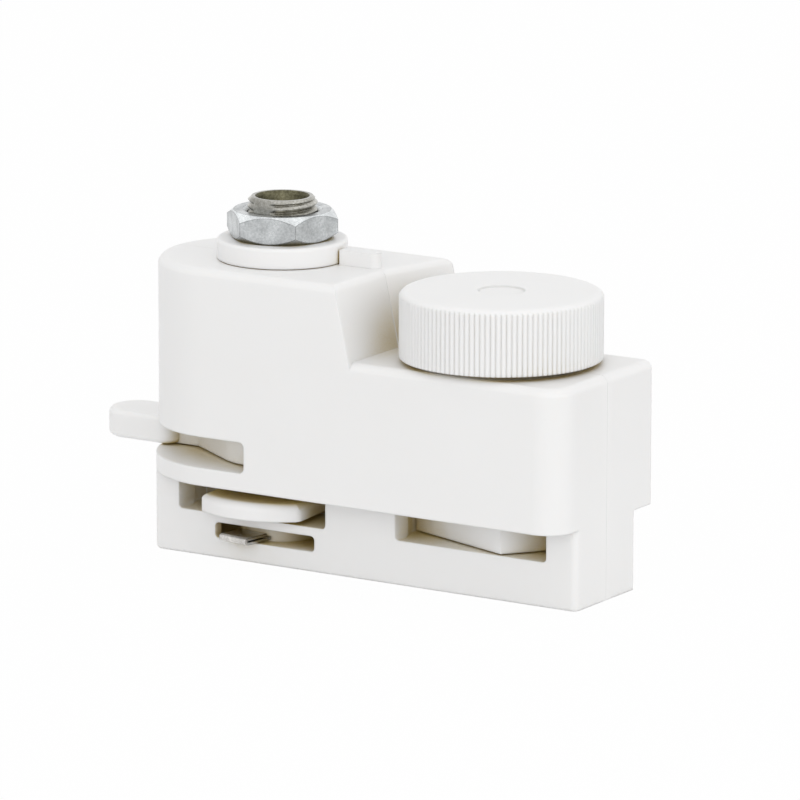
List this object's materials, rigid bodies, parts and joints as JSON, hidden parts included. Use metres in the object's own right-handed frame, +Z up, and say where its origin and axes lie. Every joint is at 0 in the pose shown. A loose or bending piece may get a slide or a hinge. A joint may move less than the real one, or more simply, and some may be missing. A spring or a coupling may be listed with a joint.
{
  "type": "track light adapter",
  "caption": "Track light adapter: white stepped housing with a slim track insert, a threaded swivel stem with nut, a ribbed lock knob, a turning lever, lock plates and contacts.",
  "frame": {"origin": "on the stem axis, at the underside of the track insert, on the seam between the two shells", "axes": "+X along the housing from the stem to the knob, +Y towards the rear shell with the shell screws, +Z up along the stem axis out of the housing"},
  "size_m": [0.0813, 0.028, 0.0508],
  "materials": {
    "shell_plastic": "satin white moulding",
    "knob_plastic": "satin white moulding with fine ribs",
    "inner_plastic": "plain off-white",
    "zinc_steel": "zinc plated",
    "stem_steel": "nickel plated, fine thread",
    "contact_metal": "bright plated spring strip",
    "rivet_brass": "plain"
  },
  "bodies": {
    "housing": {"front_shell": "shell_plastic", "rear_shell": "shell_plastic", "shell_screws": "zinc_steel"},
    "rotor": {"lever": "shell_plastic", "lock_wing": "shell_plastic", "contact_carrier": "inner_plastic", "front_contact": "contact_metal", "rear_contact": "contact_metal", "contact_rivets": "rivet_brass", "rotor_screw": "zinc_steel"},
    "knob_set": {"knob": "knob_plastic", "lock_cam": "shell_plastic", "cam_screw": "zinc_steel", "knob_washer": "inner_plastic"},
    "stem": {"stem_tube": "stem_steel", "stem_nut": "zinc_steel", "swivel_disc": "shell_plastic", "stop_washer": "zinc_steel", "friction_washer": "inner_plastic", "inner_nut": "zinc_steel"}
  },
  "joints": [
    {"name": "lever_turn", "type": "hinge", "parent": "housing", "child": "rotor", "pos_m": [0, 0, 0.016], "axis": [0, 0, 1], "range_deg": [0, 85]},
    {"name": "knob_turn", "type": "hinge", "parent": "housing", "child": "knob_set", "pos_m": [0.0358, 0, 0.0367], "axis": [0, 0, 1], "range_deg": [0, 90]},
    {"name": "stem_swivel", "type": "hinge", "parent": "housing", "child": "stem", "pos_m": [0, 0, 0.041], "axis": [0, 0, 1], "range_deg": [-160, 160]}
  ]
}
